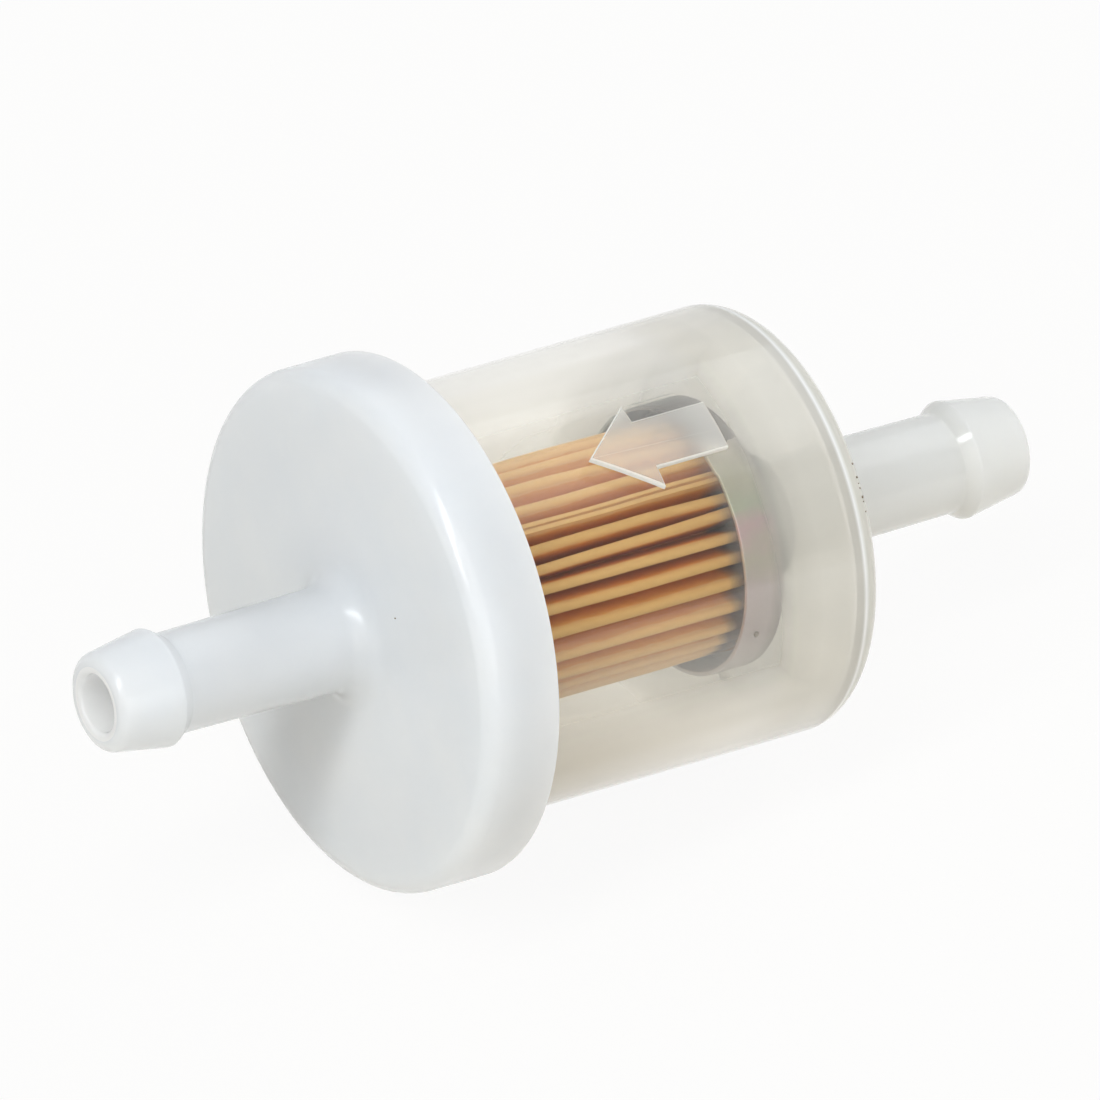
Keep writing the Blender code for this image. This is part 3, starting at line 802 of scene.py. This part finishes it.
def paper_mesh():
    bm = bmesh.new()
    rings = []
    for station in range(STATIONS + 1):
        height = paper_start + (paper_end - paper_start) * station / STATIONS
        section = strip_section(height)
        rings.append(([bm.verts.new((*pair[0], height)) for pair in section],
                      [bm.verts.new((*pair[1], height)) for pair in section]))
    count = len(rings[0][0])
    for index in range(count):
        after = (index + 1) % count
        for (outer, inner), (next_outer, next_inner) in zip(rings, rings[1:]):
            bm.faces.new((outer[index], outer[after], next_outer[after], next_outer[index]))
            bm.faces.new((inner[after], inner[index], next_inner[index], next_inner[after]))
        for outer, inner in (rings[0], rings[-1]):
            bm.faces.new((outer[index], outer[after], inner[after], inner[index]))
    mesh = mesh_from(bm, "pleated_paper")
    mesh.set_sharp_from_angle(angle=math.radians(50.0))
    return mesh


paper_piece = lay_down(paper_mesh(), paper)
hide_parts("paper_element")

# %% [markdown]
# ## Inlet end cap
# The cup that closes the element is stamped from thin sheet. Its skirt is seen through the
# bowl, so its edge gets a small round and its wall a slight wave from the press.

# %% Press the inlet end cap
SHEET_EDGE_ROUND = 0.08 * MM
PRESS_WAVE_LENGTH = 3.0 * MM
PRESS_WAVE = 0.05 * MM


def pressed_cup(name, closed_height):
    outside = END_CAP_DIAMETER / 2
    inside = outside - END_CAP_SHEET
    open_edge = closed_height - END_CAP_SKIRT
    corners = [
        (0.0, closed_height, 0.0), (outside, closed_height, END_CAP_ROUND),
        (outside, open_edge, SHEET_EDGE_ROUND), (inside, open_edge, SHEET_EDGE_ROUND),
        (inside, closed_height - END_CAP_SHEET, END_CAP_ROUND - END_CAP_SHEET),
        (0.0, closed_height - END_CAP_SHEET, 0.0),
    ]
    mesh = turned_mesh(name, round_outline(corners), 160, shrink=1.0, open_ends=True)
    for vertex in mesh.vertices:
        wave = noise.noise(vertex.co / PRESS_WAVE_LENGTH) * PRESS_WAVE
        if vertex.co.z < closed_height - 0.5 * END_CAP_SKIRT:
            vertex.co.x += wave * vertex.co.x / outside
            vertex.co.y += wave * vertex.co.y / outside
    return mesh


inlet_cup_end = ELEMENT_SEAT + ELEMENT_LENGTH - CLOSED_CAP_SHIFT
cup_piece = lay_down(pressed_cup("inlet_cup", inlet_cup_end), zinc)
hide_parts("inlet_end_cap")

# %% [markdown]
# ## Grit and a stained dot
# A few dark specks sit on the round of the bowl's closed end, in front of the inlet stem. One
# more lies on the cap's flat face, and a small dark dot marks the skirt of the inlet end cap.
# Each is a tiny uneven blob, half sunk into its surface. Small meshes stay sharp, where a
# noise texture blurs.

# %% Scatter the specks
DIRT_SIZE = 0.08 * MM
DIRT_TURNS = [(-6.1, 1.0), (-2.3, 1.2), (-0.6, 0.7), (0.7, 0.9), (3.2, 1.3), (4.4, 0.8), (7.1, 0.8)]
VIEW_TURN = math.radians(228.5)
END_ROUND_SLANT = math.radians(40.0)
SKIRT_DOT = (math.radians(52.0), 25.2 * MM, 2.6)
FACE_SPECK = (0.0, 7.2 * MM, 0.9)


def add_blob(bm, turn, radius, height, size):
    spot = Vector((math.cos(turn) * radius, math.sin(turn) * radius, height))
    blob = bmesh.ops.create_icosphere(bm, subdivisions=1, radius=size)["verts"]
    for vert in blob:
        uneven = 1.0 + 0.5 * noise.noise(vert.co / size * 1.3 + spot / MM)
        vert.co = spot + vert.co * uneven


dirt = bmesh.new()
round_radius = (bowl_radius - BOWL_END_ROUND + BOWL_END_ROUND * math.cos(END_ROUND_SLANT)) * INSIDE_FLATS
round_height = BOWL_REACH - BOWL_END_ROUND + BOWL_END_ROUND * math.sin(END_ROUND_SLANT)
for turn, size in DIRT_TURNS:
    add_blob(dirt, VIEW_TURN + math.radians(turn), round_radius, round_height, DIRT_SIZE * size)
dot_turn, dot_height, dot_size = SKIRT_DOT
add_blob(dirt, VIEW_TURN + dot_turn, END_CAP_DIAMETER / 2, dot_height, DIRT_SIZE * dot_size)
speck_turn, speck_radius, speck_size = FACE_SPECK
add_blob(dirt, VIEW_TURN + speck_turn, speck_radius, 0.0, DIRT_SIZE * speck_size)
grit = plain_finish("brown_grit", (0.14, 0.105, 0.07), (0.27, 0.21, 0.15), 0.8, 900.0)
dirt_piece = lay_down(mesh_from(dirt, "specks_of_grit"), grit)

# %% [markdown]
# ## Hidden pieces
# The outlet end cap, the resin, the core tube and the grommet keep their solids. Only their
# material slots are filled.

# %% Finish the nodes that stay
kept_nodes = {
    "outlet_end_cap": zinc, "core_tube": zinc, "inlet_potting": resin, "outlet_potting": resin,
    "seal_grommet": rubber,
}
for node_name, finish in kept_nodes.items():
    mesh = frame["nodes"][node_name].data
    mesh.materials.clear()
    mesh.materials.append(finish)
    print(node_name, "gets", finish.name)

# %% [markdown]
# ## Settle the pieces
# The pieces were modelled on the lathe's axes and only turned into place. Now that place is
# written into each mesh, as it is in the CAD solids, so that a piece's box is its true box.

# %% Write each place into its mesh
for piece in laid_down:
    piece.data.transform(lathe)
    piece.matrix_world = Matrix.Identity(4)
    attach(piece, "root")
print("pieces settled:", len(laid_down))

# %% [markdown]
# ## Floor and light
# The filter lies on a plain white table in a white studio. To the camera, and to what metal and
# clear plastic mirror or let through, the table and the walls are a plain white. One side of
# the room, to the front and right, is darker: the bowl mirrors it, so the paper behind that
# part of the bowl keeps its full colour.

# %% Set the white table
FLOOR_SIZE = 3.0
PLAIN_WHITE_SHARE = 0.93
TABLE_DROP = 0.02 * MM


def add_seen(tree):
    rays = add_node(tree, "ShaderNodeLightPath")
    mirrored = add_node(tree, "ShaderNodeMath", {
        0: rays.outputs["Is Glossy Ray"], 1: rays.outputs["Is Transmission Ray"]}, operation="MAXIMUM")
    seen = add_node(tree, "ShaderNodeMath", {
        0: rays.outputs["Is Camera Ray"], 1: mirrored.outputs["Value"]}, operation="MAXIMUM")
    return seen.outputs["Value"]


half_floor = FLOOR_SIZE / 2
floor_mesh = bpy.data.meshes.new("white_table")
floor_mesh.from_pydata([(-half_floor, -half_floor, 0), (half_floor, -half_floor, 0),
                        (half_floor, half_floor, 0), (-half_floor, half_floor, 0)], [], [(0, 1, 2, 3)])
floor = bpy.data.objects.new("white_table", floor_mesh)
floor.location.z = -TABLE_DROP
bpy.context.collection.objects.link(floor)
floor_finish, floor_tree, floor_shader = new_finish("white_table")
floor_shader.inputs["Base Color"].default_value = (0.79, 0.745, 0.66, 1.0)
floor_shader.inputs["Roughness"].default_value = 0.9
plain_white = add_node(floor_tree, "ShaderNodeEmission", {"Color": (1, 1, 1, 1), "Strength": 1.0})
share = add_node(floor_tree, "ShaderNodeMath", {0: add_seen(floor_tree), 1: PLAIN_WHITE_SHARE},
                 operation="MULTIPLY")
floor_mix = add_node(floor_tree, "ShaderNodeMixShader", {
    0: share.outputs["Value"], 1: floor_shader.outputs["BSDF"], 2: plain_white.outputs["Emission"]})
floor_tree.links.new(floor_mix.outputs["Shader"], floor_tree.nodes["Material Output"].inputs["Surface"])
floor_mesh.materials.append(floor_finish)

# %% Set the white room with its darker side
ROOM_LEVEL = 0.25
RIGHT_LEVEL = 1.35
DARK_LEVEL = 0.1
DARK_FRONT = Vector((0.08, -0.80, 0.59)).normalized()
MIRROR_SHARE = 0.489
MIRROR_BAND = 0.22
FRONT_FROM = 0.60
FRONT_TO = 0.76
RIGHT_FROM = 0.2
RIGHT_TO = 0.9

world = bpy.data.worlds.new("studio")
bpy.context.scene.world = world
world.use_nodes = True
room = world.node_tree
look = add_node(room, "ShaderNodeTexCoord").outputs["Generated"]
along = add_node(room, "ShaderNodeVectorMath", {0: look, 1: axis_way}, operation="DOT_PRODUCT")
off_band = add_node(room, "ShaderNodeMath", {0: along.outputs["Value"], 1: MIRROR_SHARE, 2: MIRROR_BAND},
                    operation="COMPARE")
toward_front = add_node(room, "ShaderNodeVectorMath", {0: look, 1: DARK_FRONT},
                        operation="DOT_PRODUCT")
front_part = add_node(room, "ShaderNodeMapRange", {
    "Value": toward_front.outputs["Value"], "From Min": FRONT_FROM, "From Max": FRONT_TO},
    interpolation_type="SMOOTHSTEP")
darkness = add_node(room, "ShaderNodeMath", {
    0: off_band.outputs["Value"], 1: front_part.outputs["Result"]}, operation="MULTIPLY")
brightness = add_node(room, "ShaderNodeMapRange", {
    "Value": darkness.outputs["Value"], "To Min": 1.0, "To Max": DARK_LEVEL})
lit = room.nodes["Background"]
lit.inputs["Color"].default_value = (0.96, 0.98, 1.0, 1.0)
level = add_node(room, "ShaderNodeMapRange", {
    "Value": along.outputs["Value"], "From Min": RIGHT_FROM, "From Max": RIGHT_TO,
    "To Min": ROOM_LEVEL, "To Max": RIGHT_LEVEL}, interpolation_type="SMOOTHSTEP")
room.links.new(level.outputs["Result"], lit.inputs["Strength"])
shown = add_node(room, "ShaderNodeBackground", {
    "Color": (1, 1, 1, 1), "Strength": brightness.outputs["Result"]})
room_mix = add_node(room, "ShaderNodeMixShader", {
    0: add_seen(room), 1: lit.outputs["Background"], 2: shown.outputs["Background"]})
room.links.new(room_mix.outputs["Shader"], room.nodes["World Output"].inputs["Surface"])

# %% [markdown]
# ## Lamps
# A long strip softbox hangs over the filter. Its mirror image lies on the upper part of the
# bowl as a pale veil with a sharp lower edge. A large dim panel on the left lights the flat
# face of the cap. Another stands square to the filter's axis, where the bowl can't mirror it
# towards the camera, and lights the paper and the front of the bowl.


# %% Hang the lamps
def add_lamp(name, place, target, width, fold_shade_share, level, color=(1.0, 1.0, 1.0)):
    lamp = bpy.data.lights.new(name, "AREA")
    lamp.shape = "RECTANGLE"
    lamp.size, lamp.size_y = width, fold_shade_share
    lamp.energy = level * math.pi * width * fold_shade_share
    lamp.color = color
    thing = bpy.data.objects.new(name, lamp)
    thing.location = place
    thing.rotation_euler = (Vector(target) - Vector(place)).to_track_quat("-Z", "Y").to_euler()
    thing.visible_camera = False
    bpy.context.collection.objects.link(thing)
    print(name, "sends", round(lamp.energy, 2), "W")
    return thing


STRIP_HEIGHT = 0.45
STRIP_STEPS = [(-0.224, -0.08, 0.5), (-0.08, 0.10, 0.7), (0.10, 0.9, 0.85)]
STRIP_WIDTH = 0.24
COOL = (0.93, 0.97, 1.0)
for number, (front, rear, level) in enumerate(STRIP_STEPS):
    middle = (front + rear) / 2
    add_lamp(f"strip_softbox_{number}", (0.40, middle, STRIP_HEIGHT), (0.40, middle, 0.0),
             STRIP_WIDTH, rear - front, level, COOL)
add_lamp("key_strip", (-0.40, -0.15, 0.62), (0.0, -0.15, 0.0), 0.14, 0.8, 8.8, COOL)
add_lamp("left_panel", (-0.55, -0.55, 0.60), (0.0, 0.0, 0.0), 0.9, 0.9, 0.6)
add_lamp("front_panel", (0.10, -1.10, 0.42), (0.0, 0.0, 0.0), 1.0, 0.6, 1.0)

# %% [markdown]
# ## Camera
# The photograph was taken from far away with a long lens, so the filter shows almost no
# perspective. The filter's own scale on the picture, in pixels for each millimetre, gives the
# lens once the distance is chosen.

# %% Place the camera
PHOTO_SIZE = 1100
PIXELS_PER_MM = 16.0
CAP_CENTRE_PIXEL = (341.7, 634.0)
CAMERA_AZIMUTH = math.radians(-32.3)
CAMERA_ELEVATION = math.radians(39.2)
CAMERA_DISTANCE = 2.856

back = Vector((math.sin(CAMERA_AZIMUTH) * math.cos(CAMERA_ELEVATION),
               -math.cos(CAMERA_AZIMUTH) * math.cos(CAMERA_ELEVATION),
               math.sin(CAMERA_ELEVATION)))
right = Vector((math.cos(CAMERA_AZIMUTH), math.sin(CAMERA_AZIMUTH), 0.0))
up = back.cross(right)
pixel = MM / PIXELS_PER_MM
aim = (cap_centre + right * (PHOTO_SIZE / 2 - CAP_CENTRE_PIXEL[0]) * pixel
       + up * (CAP_CENTRE_PIXEL[1] - PHOTO_SIZE / 2) * pixel)
camera_data = bpy.data.cameras.new("camera")
camera_data.sensor_width = 36.0
camera_data.lens = camera_data.sensor_width * CAMERA_DISTANCE / (PHOTO_SIZE * pixel)
camera = bpy.data.objects.new("camera", camera_data)
camera.location = aim + back * CAMERA_DISTANCE
camera.rotation_euler = (-back).to_track_quat("-Z", "Y").to_euler()
bpy.context.collection.objects.link(camera)
bpy.context.scene.camera = camera
bpy.context.scene.view_settings.view_transform = "Standard"
print("lens in mm:", round(camera_data.lens, 1))
